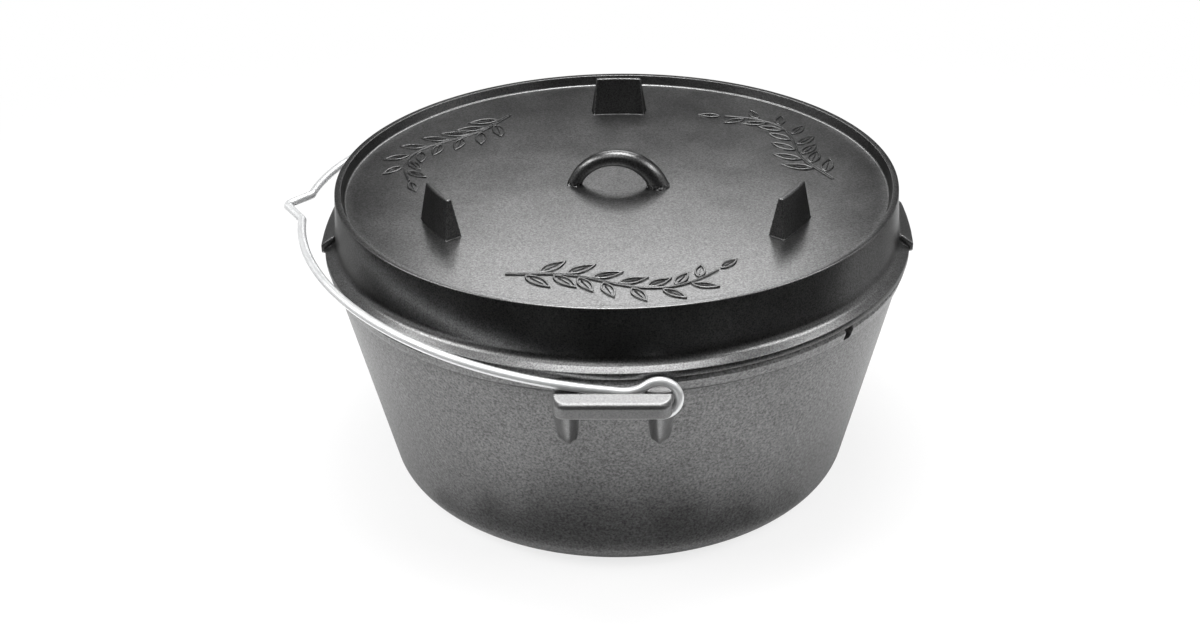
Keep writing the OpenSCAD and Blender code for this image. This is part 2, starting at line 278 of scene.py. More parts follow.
def skirt_r(z):
    """Radius of the lid's side wall at a height."""
    return LID_RIM_R + (LID_TOP_Z - z) * SKIRT_LEAN


# Finishes

def linear(hex_colour):
    """sRGB hex to linear RGBA."""
    parts = [int(hex_colour[i:i + 2], 16) / 255 for i in (1, 3, 5)]
    return (*[p / 12.92 if p <= 0.04045 else ((p + 0.055) / 1.055) ** 2.4 for p in parts], 1.0)


def add(tree, kind, inputs=None, **settings):
    """Adds a node; an input takes a value, or another node's output socket."""
    node = tree.nodes.new(kind)
    for name, value in settings.items():
        setattr(node, name, value)
    for key, value in (inputs or {}).items():
        if isinstance(value, bpy.types.NodeSocket):
            tree.links.new(value, node.inputs[key])
        else:
            node.inputs[key].default_value = value
    return node


def new_material(name):
    """Material with an empty node tree, and that tree."""
    material = bpy.data.materials.new(name)
    material.use_nodes = True
    material.node_tree.nodes.clear()
    return material, material.node_tree


def per_mm(size):
    """Texture scale that gives features of this size in millimetres."""
    return 1 / (size * MM)


def seasoned_iron(name, grain_mm, grain_depth, dark, light, smooth, dull, metal, speckle, grazing):
    """Sand-cast grey iron under baked oil: a dark satin skin with a pebbled grain, cloudy patches that
    are lighter and duller where the oil lies thin, and edges that handling has burnished. The edges
    are lightened further as a painted highlight, and inside corners are darkened as painted shade.
    The sand's grain, about half a millimetre, is too fine to show, so it is drawn coarser."""
    cloud_mm = 38
    pit_mm = grain_mm * 2.6
    material, tree = new_material(name)
    place = add(tree, "ShaderNodeTexCoord").outputs["Object"]
    clouds = add(tree, "ShaderNodeTexNoise", {
        "Vector": place, "Scale": per_mm(cloud_mm), "Detail": 4.0, "Roughness": 0.6})
    grain = add(tree, "ShaderNodeTexNoise", {
        "Vector": place, "Scale": per_mm(grain_mm), "Detail": 3.0, "Roughness": 0.65})
    pits = add(tree, "ShaderNodeTexVoronoi", {
        "Vector": place, "Scale": per_mm(pit_mm), "Randomness": 1.0})
    pit_floor = add(tree, "ShaderNodeMapRange", {
        "Value": pits.outputs["Distance"], "From Min": 0.0, "From Max": 0.28, "To Min": 0.0, "To Max": 1.0})
    height = add(tree, "ShaderNodeMath", {
        0: pit_floor.outputs["Result"], 1: 0.35, 2: grain.outputs["Fac"]}, operation="MULTIPLY_ADD")
    swell = add(tree, "ShaderNodeBump", {
        "Strength": 0.12, "Distance": 0.6 * MM, "Height": clouds.outputs["Fac"]})
    bump = add(tree, "ShaderNodeBump", {
        "Strength": 0.9, "Distance": grain_depth * MM, "Height": height.outputs["Value"],
        "Normal": swell.outputs["Normal"]})
    blend = add(tree, "ShaderNodeMapRange", {
        "Value": clouds.outputs["Fac"], "From Min": 0.32, "From Max": 0.68})
    tone = add(tree, "ShaderNodeMix", {
        "Factor": blend.outputs["Result"], "A": linear(dark), "B": linear(light)}, data_type="RGBA")
    speck = add(tree, "ShaderNodeMapRange", {
        "Value": grain.outputs["Fac"], "From Min": 0.3, "From Max": 0.7,
        "To Min": 1 - speckle, "To Max": 1 + speckle})
    grained = add(tree, "ShaderNodeMix", {
        "Factor": 1.0, "A": tone.outputs["Result"], "B": speck.outputs["Result"]},
        data_type="RGBA", blend_type="MULTIPLY")
    # edge wear and painted highlight on outside edges, painted shade in inside corners and the tray's side
    wear_and_shade = add(tree, "ShaderNodeAttribute", attribute_name="wear_and_shade")
    burnish_and_shade = add(tree, "ShaderNodeMapRange", {
        "Value": wear_and_shade.outputs["Fac"], "From Min": -0.6, "From Max": 0.6, "To Min": 0.5, "To Max": 1.5})
    colour = add(tree, "ShaderNodeMix", {
        "Factor": 1.0, "A": grained.outputs["Result"], "B": burnish_and_shade.outputs["Result"]},
        data_type="RGBA", blend_type="MULTIPLY")
    rough = add(tree, "ShaderNodeMapRange", {
        "Value": clouds.outputs["Fac"], "From Min": 0.3, "From Max": 0.7, "To Min": smooth, "To Max": dull})
    shader = add(tree, "ShaderNodeBsdfPrincipled", {
        "Base Color": colour.outputs["Result"], "Metallic": metal, "Roughness": rough.outputs["Result"],
        "Normal": bump.outputs["Normal"], "Specular Tint": linear(grazing)})
    add(tree, "ShaderNodeOutputMaterial", {"Surface": shader.outputs["BSDF"]})
    return material


def zinc_plated_wire():
    """Bright zinc-plated steel wire: a whitish satin sheen, broken by handling scuffs and faint die marks.
    The die marks are too fine to show, so they are drawn as a coarser ripple."""
    scuff_mm = 5
    ripple_mm = 0.8
    material, tree = new_material("zinc_plated_steel")
    place = add(tree, "ShaderNodeTexCoord").outputs["Object"]
    scuffs = add(tree, "ShaderNodeTexNoise", {
        "Vector": place, "Scale": per_mm(scuff_mm), "Detail": 5.0, "Roughness": 0.7})
    ripple = add(tree, "ShaderNodeTexNoise", {
        "Vector": place, "Scale": per_mm(ripple_mm), "Detail": 2.0})
    tone = add(tree, "ShaderNodeMix", {
        "Factor": scuffs.outputs["Fac"], "A": linear("#dcddde"), "B": linear("#eff0f0")}, data_type="RGBA")
    rough = add(tree, "ShaderNodeMapRange", {
        "Value": scuffs.outputs["Fac"], "From Min": 0.3, "From Max": 0.7, "To Min": 0.32, "To Max": 0.42})
    bump = add(tree, "ShaderNodeBump", {
        "Strength": 0.2, "Distance": 0.02 * MM, "Height": ripple.outputs["Fac"]})
    shader = add(tree, "ShaderNodeBsdfPrincipled", {
        "Base Color": tone.outputs["Result"], "Metallic": 0.65, "Roughness": rough.outputs["Result"],
        "Normal": bump.outputs["Normal"]})
    add(tree, "ShaderNodeOutputMaterial", {"Surface": shader.outputs["BSDF"]})
    return material


# The pot is the coarsest casting; the lid is finer and oilier. The handle and feet take the lid's iron
# darkened as painted shade
POT_IRON = seasoned_iron(
    "seasoned_cast_iron_pot", grain_mm=1.7, grain_depth=0.18, dark="#6a6a6a", light="#747474",
    smooth=0.38, dull=0.44, metal=0.85, speckle=0.55, grazing="#ffffff")
EAR_IRON = seasoned_iron(
    "seasoned_cast_iron_ears", grain_mm=1.2, grain_depth=0.08, dark="#6a6a6a", light="#747474",
    smooth=0.38, dull=0.44, metal=0.85, speckle=0.22, grazing="#ffffff")
LID_IRON = seasoned_iron(
    "seasoned_cast_iron_lid", grain_mm=1.1, grain_depth=0.06, dark="#727272", light="#7a7a7a",
    smooth=0.28, dull=0.33, metal=0.99, speckle=0.5, grazing="#c4c4c4")
SHADED_GRIP_IRON = seasoned_iron(
    "seasoned_cast_iron_grips_painted_shade", grain_mm=1.1, grain_depth=0.06, dark="#545454", light="#5e5e5e",
    smooth=0.29, dull=0.33, metal=1.0, speckle=0.5, grazing="#c4c4c4")
STEEL = zinc_plated_wire()


# Making pieces

def whole(bm):
    """All that is in a mesh, as an operator takes it."""
    return bm.verts[:] + bm.edges[:] + bm.faces[:]


def only(kind, geom):
    """The points, edges or faces in an operator's result."""
    return [item for item in geom if isinstance(item, kind)]


def runs_along(edge, axis):
    """Whether an edge of an outline's prism runs along axis 0, 1 or 2."""
    return abs(edge.verts[0].co[axis] - edge.verts[1].co[axis]) > 1


def lies_at(edge, z):
    """Whether both ends of an edge are at a height."""
    return all(abs(vert.co.z - z) < 0.01 for vert in edge.verts)


def round_edges(bm, edges, radius, segments):
    """Rounds edges of a mesh."""
    bmesh.ops.bevel(bm, geom=edges, offset=radius, affect="EDGES", segments=segments,
                    profile=0.5, material=-1)


def turn_to(bm, az):
    """Turns a mesh about the pot's axis."""
    bmesh.ops.rotate(bm, verts=bm.verts, cent=(0, 0, 0), matrix=Matrix.Rotation(az, 3, "Z"))


def close_skin(bm):
    """Merges doubled points and turns the faces outwards."""
    bmesh.ops.remove_doubles(bm, verts=bm.verts, dist=WELD)
    bmesh.ops.recalc_face_normals(bm, faces=bm.faces)


def mark_wear_and_shade(bm):
    """Keeps how far each point is bent, for the finish: towards 1 on an outside edge, which handling
    burnishes and which is lightened further as a painted highlight, and towards -1 in an inside corner,
    which is darkened as painted shade."""
    full_bend_r = 1.2
    least_area = 1e-4
    passes = 2
    layer = bm.verts.layers.float.new("wear_and_shade")
    for vert in bm.verts:
        bent = sum(edge.calc_face_angle_signed(0) * edge.calc_length() for edge in vert.link_edges)
        area = sum(face.calc_area() / len(face.verts) for face in vert.link_faces)
        vert[layer] = max(-1, min(1, bent / (2 * area) * full_bend_r)) if area > least_area else 0
    for _ in range(passes):
        around = [sum(edge.other_vert(vert)[layer] for edge in vert.link_edges) / len(vert.link_edges)
                  for vert in bm.verts]
        for vert, mean in zip(bm.verts, around):
            vert[layer] = (vert[layer] + mean) / 2


def set_piece(bm, name, body, material, nodes=(), sharp=38, worn_and_shaded=True):
    """Scales a mesh built in millimetres, closes it and sets it on its body in place of CAD nodes;
    edges that bend more than sharp degrees stay crisp."""
    close_skin(bm)
    # edge wear with a painted highlight on bent edges, and painted shade in inside corners
    if worn_and_shaded:
        mark_wear_and_shade(bm)
    bmesh.ops.scale(bm, vec=(MM, MM, MM), verts=bm.verts)
    for face in bm.faces:
        face.smooth = True
    for edge in bm.edges:
        edge.smooth = edge.calc_face_angle(0) < math.radians(sharp)
    mesh = bpy.data.meshes.new(name)
    bm.to_mesh(mesh)
    bm.free()
    mesh.materials.append(material)
    piece = bpy.data.objects.new(name, mesh)
    bpy.context.scene.collection.objects.link(piece)
    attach(piece, body)
    if nodes:
        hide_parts(*nodes)


def section(bm, points):
    """Chain of edges in the XZ plane through (r, z, rounding), with its corners rounded
    and its long stretches cut, so that smooth shading stays near the corners."""
    longest = 6
    round_step = 1.2
    verts = [bm.verts.new((r, 0, z)) for r, z, _ in points]
    for pair in zip(verts, verts[1:]):
        bm.edges.new(pair)
    for vert, (_, _, rounding) in zip(verts, points):
        if rounding:
            arms = [edge.other_vert(vert).co - vert.co for edge in vert.link_edges]
            half = arms[0].angle(arms[1]) / 2
            bmesh.ops.bevel(bm, geom=[vert], offset=rounding / math.tan(half), affect="VERTICES",
                            segments=max(4, int(rounding / round_step)), profile=0.5, material=-1)
    for edge in bm.edges[:]:
        cuts = int(edge.calc_length() / longest)
        if cuts:
            bmesh.ops.subdivide_edges(bm, edges=[edge], cuts=cuts)


def turn_round(bm):
    """Spins a section once round the pot's axis."""
    bmesh.ops.spin(bm, geom=whole(bm), cent=(0, 0, 0), axis=(0, 0, 1), dvec=(0, 0, 0),
                   angle=2 * math.pi, steps=288, use_merge=True)
    close_skin(bm)


def ring_stretch(outline, middle, half, steps):
    """Outline of (r, z) points carried along an arc that reaches half to each side of its middle."""
    bm = bmesh.new()
    bm.faces.new([bm.verts.new((r, 0, z)) for r, z in outline])
    turn_to(bm, middle - half)
    bmesh.ops.spin(bm, geom=whole(bm), cent=(0, 0, 0), axis=(0, 0, 1), dvec=(0, 0, 0),
                   angle=2 * half, steps=steps, use_merge=False)
    close_skin(bm)
    return bm


def prism(outline, axis, low, high):
    """Outline in the plane square to axis 0 or 1, carried from low to high along it."""
    bm = bmesh.new()
    corners = [(low, a, b) if axis == 0 else (a, low, b) for a, b in outline]
    face = bm.faces.new([bm.verts.new(corner) for corner in corners])
    made = bmesh.ops.extrude_face_region(bm, geom=[face])["geom"]
    step = Vector()
    step[axis] = high - low
    bmesh.ops.translate(bm, vec=step, verts=only(bmesh.types.BMVert, made))
    bmesh.ops.recalc_face_normals(bm, faces=bm.faces)
    return bm


def evaluated(bm, modifier, **settings):
    """The mesh after one modifier, as a new bmesh."""
    mesh = bpy.data.meshes.new("work")
    bm.to_mesh(mesh)
    bm.free()
    work = bpy.data.objects.new("work", mesh)
    bpy.context.scene.collection.objects.link(work)
    live = work.modifiers.new("work", modifier)
    for name, value in settings.items():
        setattr(live, name, value)
    depsgraph = bpy.context.evaluated_depsgraph_get()
    result = bpy.data.meshes.new_from_object(work.evaluated_get(depsgraph))
    out = bmesh.new()
    out.from_mesh(result)
    bpy.data.objects.remove(work)
    bpy.data.meshes.remove(mesh)
    bpy.data.meshes.remove(result)
    return out


def cut_out(bm, cutter):
    """The mesh with another one cut out of it."""
    mesh = bpy.data.meshes.new("cutter")
    cutter.to_mesh(mesh)
    cutter.free()
    tool = bpy.data.objects.new("cutter", mesh)
    bpy.context.scene.collection.objects.link(tool)
    out = evaluated(bm, "BOOLEAN", object=tool, operation="DIFFERENCE", solver="EXACT")
    bpy.data.objects.remove(tool)
    bpy.data.meshes.remove(mesh)
    return out


def cast_together(parts, voxel, passes, at_root, root_passes):
    """One skin over overlapping solids, softened as sand-cast edges are; at_root picks the
    points next to the casting, which are softened further into a fillet."""
    joined = bmesh.new()
    for part in parts:
        mesh = bpy.data.meshes.new("part")
        part.to_mesh(mesh)
        part.free()
        joined.from_mesh(mesh)
        bpy.data.meshes.remove(mesh)
    bm = evaluated(joined, "REMESH", mode="VOXEL", voxel_size=voxel)

    def soften(verts, times):
        for _ in range(times):
            bmesh.ops.smooth_vert(bm, verts=verts, factor=0.5,
                                  use_axis_x=True, use_axis_y=True, use_axis_z=True)

    soften(bm.verts[:], passes)
    soften([vert for vert in bm.verts if at_root(vert.co)], root_passes)
    return bm


# Pot

def notch_cutter():
    """Round-bottomed slot that runs out through the rim."""
    half = NOTCH_W / 2
    low = POT_H - NOTCH_H
    top = POT_H + NOTCH_ABOVE
    bm = prism([(-half, top), (-half, low), (half, low), (half, top)], 0, NOTCH_IN_R, NOTCH_OUT_R)
    bottom = [edge for edge in bm.edges if lies_at(edge, low) and runs_along(edge, 0)]
    # just under half the width, so that the two roundings don't meet
    round_edges(bm, bottom, half * 0.98, segments=8)
    turn_to(bm, NOTCH_AZ)
    bmesh.ops.recalc_face_normals(bm, faces=bm.faces)
    return bm


def build_pot():
    """Flared wall on a flat base, with a band below the bevelled rim and a cable notch in it."""
    bm = bmesh.new()
    band_low = BAND_Z - BAND_T
    section(bm, [
        (0, 0, 0),
        (BASE_R, 0, BASE_ROUND),
        (wall_r(band_low), band_low, 1.6),
        (wall_r(BAND_Z) + BAND_T, BAND_Z, 0.8),
        (RIM_R, POT_H - RIM_BEVEL_H, 0.5),
        (RIM_FLAT_R, POT_H, 0.5),
        (MOUTH_R - WALL_ACROSS, POT_H, 1.2),
        (wall_r(BASE_T) - WALL_ACROSS, BASE_T, BASE_ROUND - WALL_T),
        (0, BASE_T, 0),
    ])
    turn_round(bm)
    bm = cut_out(bm, notch_cutter())
    set_piece(bm, "pot_casting", "pot", POT_IRON, ["pot"])


def ear_bar():
    """Bar of an ear, its top sloping a little to the front, with its corners rounded as seen from above."""
    half = ARM_X + ARM_W / 2
    bm = prism([(BAR_FRONT - back, EAR_Z + up) for back, up in BAR_OUTLINE], 0, -half, half)
    corners = [edge for edge in bm.edges if not runs_along(edge, 0)
               and all(vert.co.y > BAR_FRONT - BAR_CORNER for vert in edge.verts)]
    round_edges(bm, corners, BAR_CORNER, segments=8)
    return bm


def ear_arm(mid):
    """Arm from the wall to the bar, with a round underside and a top that falls to the front."""
    low = EYE_Z - ARM_DEPTH
    left = mid - ARM_W / 2
    right = mid + ARM_W / 2
    outline = [(left, EAR_Z), (left, low), (right, low), (right, EAR_Z)]
    bm = prism(outline, 1, ARM_ROOT_R, BAR_IN + ARM_IN_BAR)
    for vert in bm.verts:
        if vert.co.z > EYE_Z:
            vert.co.z -= ARM_FALL * (vert.co.y - ARM_LEVEL_R)
    under = [edge for edge in bm.edges if lies_at(edge, low) and runs_along(edge, 1)]
    round_edges(bm, under, ARM_ROUND, segments=6)
    return bm


def ear_rib(mid):
    """Rib under an arm, bell-shaped across so that its sides flare into the wall, that narrows
    and sinks towards its foot."""
    outwards = math.copysign(1, mid)
    shares = [k / 12 - 1 for k in range(25)]
    bm = bmesh.new()
    rings = []
    for drop, half, back in RIB_LEVELS:
        z = EAR_Z - drop
        across = [mid + u * half * (RIB_FLARE_OUT if u * outwards > 0 else RIB_FLARE_IN) for u in shares]
        wall = [math.sqrt(wall_r(z) ** 2 - x ** 2) for x in across]
        bell = [0.5 + 0.5 * math.cos(math.pi * u) for u in shares]
        front = [y - SUNK + (RIB_FRONT - back - y + SUNK) * share for y, share in zip(wall, bell)]
        outline = list(zip(across, front))
        outline += [(across[-1], wall[-1] - RIB_BURIED), (across[0], wall[0] - RIB_BURIED)]
        rings.append([bm.verts.new((x, y, z)) for x, y in outline])
    for end in (rings[0], rings[-1]):
        bm.faces.new(end)
    for upper, lower in zip(rings, rings[1:]):
        for k in range(len(upper)):
            bm.faces.new((upper[k], upper[k - 1], lower[k - 1], lower[k]))
    bmesh.ops.recalc_face_normals(bm, faces=bm.faces)
    return bm


def ear_wall(mid):
    """Stretch of the pot's wall, band and rim behind one arm and its rib."""
    low = 108
    top = 172
    top_r = RIM_R - 0.5
    inner = 4.2
    band_low = BAND_Z - BAND_T
    outline = [(wall_r(low) - SUNK, low), (wall_r(band_low) - SUNK, band_low),
               (wall_r(BAND_Z) + BAND_T - SUNK, BAND_Z), (top_r - SUNK, top),
               (RIM_R - SUNK - inner, top), (wall_r(low) - inner, low)]
    wall_mid_r = 205
    middle = math.pi / 2 - math.asin(mid / wall_mid_r)
    return ring_stretch(outline, middle, half=math.radians(5.6), steps=10)


def build_ear(node, az):
    """Bar on two arms, with a rounded rib under each arm, that the bail's eyes hang in."""
    parts = [ear_bar()]
    for mid in (-ARM_X, ARM_X):
        parts += [ear_arm(mid), ear_rib(mid), ear_wall(mid)]

    def at_wall(place):
        """Whether a point is in the fillet, from 2 inside the wall's face to 4 outside it."""
        out = place.xy.length - wall_r(place.z) - (BAND_T if place.z > BAND_Z else 0)
        return -2 < out < 4 and place.z < EAR_Z - 3

    bm = cast_together(parts, voxel=0.55, passes=2, at_root=at_wall, root_passes=25)
    turn_to(bm, az)
    set_piece(bm, node + "_casting", "pot", EAR_IRON, [node], sharp=60)


# Lid

def tray_side(share):
    """Point up the tray's side, from its foot at 0 to the raised rim's crest at 1, with no rounding."""
    return TRAY_R - TRAY_DRAFT * (1 - share), PLATE_Z + TRAY_H * share, 0


def build_lid():
    """Flat plate in a raised rim, with a leaning side wall, a sloping flange and a centring lip."""
    bm = bmesh.new()
    under = PLATE_Z - PLATE_T
    lip_low = SEAT_Z - LIP_H
    lip_in_r = LIP_R - LIP_T
    # the points up the tray's side and just below the rim keep the flats between roundings flat to the eye
    skirt_top = LID_TOP_Z - 3
    section(bm, [
        (0, PLATE_Z, 0),
        (TRAY_R - TRAY_DRAFT, PLATE_Z, 1.5),
        tray_side(0.2),
        tray_side(0.85),
        (TRAY_R, LID_TOP_Z, 0.35),
        (LID_RIM_R, LID_TOP_Z, 1.1),
        (skirt_r(skirt_top), skirt_top, 0),
        (skirt_r(FLANGE_MEET_Z), FLANGE_MEET_Z, FLANGE_HOLLOW),
        (FLANGE_R, FLANGE_TOP_Z, 0.9),
        (FLANGE_R, FLANGE_LOW_Z, 0.35),
        (RIM_FLAT_R, FLANGE_LOW_Z, 0.3),
        (RIM_FLAT_R - FLANGE_GAP, SEAT_Z, 0.4),
        (LIP_R, SEAT_Z, 0.6),
        (LIP_R, lip_low, 1),
        (lip_in_r, lip_low, 1),
        (lip_in_r, SEAT_Z, 0.5),
        (skirt_r(under) - SKIRT_T, under, PAN_ROUND),
        (0, under, 0),
    ])
    turn_round(bm)
    # painted shade: the tray's side is darkened as though shade lay on it
    layer = bm.verts.layers.float.new("wear_and_shade")
    for vert in bm.verts:
        in_painted_shade = PLATE_Z + 1 < vert.co.z < LID_TOP_Z - 0.1 and vert.co.xy.length < TRAY_R
        vert[layer] = TRAY_SIDE_PAINTED_SHADE if in_painted_shade else 0
    set_piece(bm, "lid_casting", "lid", LID_IRON, ["lid"], worn_and_shaded=False)


def near_plate(above):
    """Test for a point in the fillet between the plate and what is cast on it."""
    return lambda place: PLATE_Z - 1 < place.z < PLATE_Z + above


def plate_slab(left, right, half):
    """Slab just under the plate's face that a cast-on feature grows out of."""
    outline = [(left, SLAB_LOW_Z), (right, SLAB_LOW_Z), (right, SLAB_TOP_Z), (left, SLAB_TOP_Z)]
    return prism(outline, 1, -half, half)


def build_foot(node, az):
    """Wedge foot that follows a circle round the lid's axis."""
    low = PLATE_Z - FOOT_BURIED
    top = PLATE_Z + FOOT_H
    outline = [(FOOT_R - FOOT_BASE_T / 2, low), (FOOT_R + FOOT_BASE_T / 2, low),
               (FOOT_R + FOOT_TOP_T / 2, top), (FOOT_R - FOOT_TOP_T / 2, top)]
    wedge = ring_stretch(outline, 0, half=FOOT_BASE_W / 2 / FOOT_R, steps=14)
    for vert in wedge.verts:
        if vert.co.z > PLATE_Z:
            at = math.atan2(vert.co.y, vert.co.x)
            vert.co = Matrix.Rotation(-at * (1 - FOOT_TOP_W / FOOT_BASE_W), 3, "Z") @ vert.co
    parts = [wedge, plate_slab(*FOOT_SLAB)]
    bm = cast_together(parts, voxel=0.45, passes=1, at_root=near_plate(FOOT_FILLET), root_passes=10)
    for vert in bm.verts:
        vert.co.z = min(vert.co.z, top)
    turn_to(bm, az)
    set_piece(bm, node + "_casting", "lid", SHADED_GRIP_IRON, [node], sharp=60)


def lug_wall():
    """Stretch of the lid's flange and side wall behind a lug."""
    low = FLANGE_LOW_Z + SUNK
    top = 208
    root_z = 180
    hollow_r = skirt_r(FLANGE_MEET_Z) + 0.5
    inner = 4
    outline = [(FLANGE_R - SUNK, low), (FLANGE_R - SUNK, FLANGE_TOP_Z - SUNK),
               (hollow_r - SUNK, FLANGE_MEET_Z), (skirt_r(top) - SUNK, top),
               (skirt_r(top) - inner, top), (skirt_r(root_z) - inner, low)]
    return ring_stretch(outline, 0, half=math.radians(13), steps=10)


def build_lug(node, az):
    """Grip on the flange with a nearly flat face, sloping up to the lid's wall."""
    face_x = FLANGE_R + LUG_OUT
    low = FLANGE_LOW_Z + LUG_LIFT
    face_top = low + LUG_FACE_H
    outline = [(LUG_ROOT_R, low), (face_x, low), (face_x, face_top),
               (LUG_ROOT_R, face_top + (face_x - LUG_ROOT_R) * LUG_SLOPE)]
    block = prism(outline, 1, -LUG_HALF, LUG_HALF)
    long_edges = [edge for edge in block.edges if runs_along(edge, 1)]
    bmesh.ops.subdivide_edges(block, edges=long_edges, cuts=11, use_grid_fill=True)
    for vert in block.verts:
        vert.co.x -= (vert.co.y / LUG_HALF) ** 2 * LUG_BOW

    def at_skirt(place):
        """Whether a point is in the fillet, from 2 inside the side wall's face to 2.6 outside it."""
        return -2 < place.xy.length - skirt_r(place.z) < 2.6

    bm = cast_together([block, lug_wall()], voxel=0.7, passes=3, at_root=at_skirt, root_passes=10)
    for vert in bm.verts:
        vert.co.x = min(vert.co.x, face_x)
    turn_to(bm, az)
    set_piece(bm, node + "_casting", "lid", LID_IRON, [node], sharp=60)


def handle_bar():
    """Round bar bent to an arc through both roots, that thickens towards the right one."""
    radius = (HANDLE_HALF ** 2 + HANDLE_RISE ** 2) / 2 / HANDLE_RISE
    centre = Vector((0, 0, PLATE_Z + HANDLE_RISE - radius))
    start = math.asin((SLAB_LOW_Z - centre.z) / radius)
    bm = bmesh.new()
    bmesh.ops.create_circle(bm, cap_ends=True, radius=HANDLE_BAR_R, segments=32,
                            matrix=Matrix.Translation(centre + Vector((-radius, 0, 0))))
    bmesh.ops.rotate(bm, verts=bm.verts, cent=centre, matrix=Matrix.Rotation(start, 3, "Y"))
    bmesh.ops.spin(bm, geom=whole(bm), cent=centre, axis=(0, 1, 0), dvec=(0, 0, 0),
                   angle=math.pi - 2 * start, steps=48, use_merge=False)
    for vert in bm.verts:
        arm = vert.co - centre
        along = Vector((arm.x, 0, arm.z)).normalized() * radius
        to_right = along.x / radius
        thick = HANDLE_THICK + HANDLE_GAIN * to_right + HANDLE_FLARE * max(0, to_right - 0.5)
        vert.co = centre + along + (arm - along) * thick
    bmesh.ops.recalc_face_normals(bm, faces=bm.faces)
    return bm


def build_handle():
    """Loop cast into the plate, with ragged collars round its roots."""
    parts = [handle_bar(), plate_slab(*HANDLE_SLAB)]
    bm = cast_together(parts, voxel=0.55, passes=3, at_root=near_plate(HANDLE_FILLET), root_passes=5)
    for vert in bm.verts:
        lift = vert.co.z - PLATE_Z
        if 0 < lift < COLLAR_H:
            ragged = noise.noise(vert.co / COLLAR_LUMP) * COLLAR_RAGGED * (1 - lift / COLLAR_H)
            vert.co += vert.normal * ragged
    turn_to(bm, HANDLE_AZ)
    set_piece(bm, "lid_handle_casting", "lid", SHADED_GRIP_IRON, ["lid_handle"], sharp=60)


def raised_line(bm, outline, width, height):
    """Low ridge with sloping sides round an outline on the plate."""
    face = bm.faces.new([bm.verts.new((x, y, PLATE_Z - SPRIG_BURIED)) for x, y in outline])
    face.normal_update()
    if face.normal.z < 0:
        face.normal_flip()
    ridge = bmesh.ops.inset_individual(bm, faces=[face], thickness=width, use_even_offset=True)["faces"]
    bmesh.ops.delete(bm, geom=[face], context="FACES_ONLY")
    made = bmesh.ops.extrude_face_region(bm, geom=ridge)["geom"]
    bmesh.ops.translate(bm, vec=(0, 0, height + SPRIG_BURIED), verts=only(bmesh.types.BMVert, made))
    bmesh.ops.inset_region(bm, faces=only(bmesh.types.BMFace, made), thickness=width * LINE_SLOPE,
                           depth=width * LINE_CROWN, use_even_offset=True)


def stem_point(az, share):
    """Point on a sprig's stem, from its foot at 0 to its tip at 1, as seen from above."""
    at = math.radians(az + (share - 0.5) * STEM_SWEEP)
    far = STEM_R + STEM_SWAY * math.sin((share - 0.5) * STEM_WAVES * 2 * math.pi)
    return Vector((far * math.cos(at), far * math.sin(at)))


def stem_heading(az, share):
    """Direction in which the stem grows there."""
    step = 0.01
    return (stem_point(az, share + step) - stem_point(az, share - step)).normalized()


def leaf(bm, root, along, length, half):
    """Pointed leaf in raised outline, with a short vein in it."""
    across = along.orthogonal()
    steps = 9
    shares = [k / steps for k in range(steps + 1)]
    edge = [(u * length, half * math.sin(math.pi * u ** LEAF_BELLY) ** LEAF_FULLNESS) for u in shares]
    outline = [root + along * out + across * side for out, side in edge]
    outline += [root + along * out - across * side for out, side in edge[-2:0:-1]]
    raised_line(bm, outline, LEAF_LINE, SPRIG_H)
    vein = [root + along * length * share + across * side for share, side in VEIN]
    raised_line(bm, vein, VEIN_LINE, VEIN_H)


def sprig(bm, az):
    """Stem that tapers to its tip, with pairs of leaves along it and one leaf at the end."""
    steps = 40
    left = []
    right = []
    for k in range(steps + 1):
        share = k / steps
        off = stem_heading(az, share).orthogonal() * (STEM_HALF - STEM_TAPER * share)
        left.append(stem_point(az, share) + off)
        right.append(stem_point(az, share) - off)
    raised_line(bm, left + right[::-1], STEM_LINE, SPRIG_H)
    leaves = [(LEAF_FIRST + LEAF_STEP * pair + LEAF_STAGGER * side, side)
              for pair in range(LEAF_PAIRS) for side in (-1, 1)]
    for share, side in leaves + [(1.0, 0)]:
        along = Matrix.Rotation(side * LEAF_TURN, 2) @ stem_heading(az, share)
        root = stem_point(az, share) + along * LEAF_OFF_STEM
        leaf(bm, root, along, LEAF_LENGTH - LEAF_SHORTER * share, LEAF_HALF - LEAF_NARROWER * share)


def build_sprigs():
    """Three leafy sprigs in raised outline, one between each pair of feet."""
    bm = bmesh.new()
    for az in (30, 150, 270):
        sprig(bm, az)
    set_piece(bm, "lid_leaf_sprigs", "lid", LID_IRON, sharp=30, worn_and_shaded=False)


# Bail

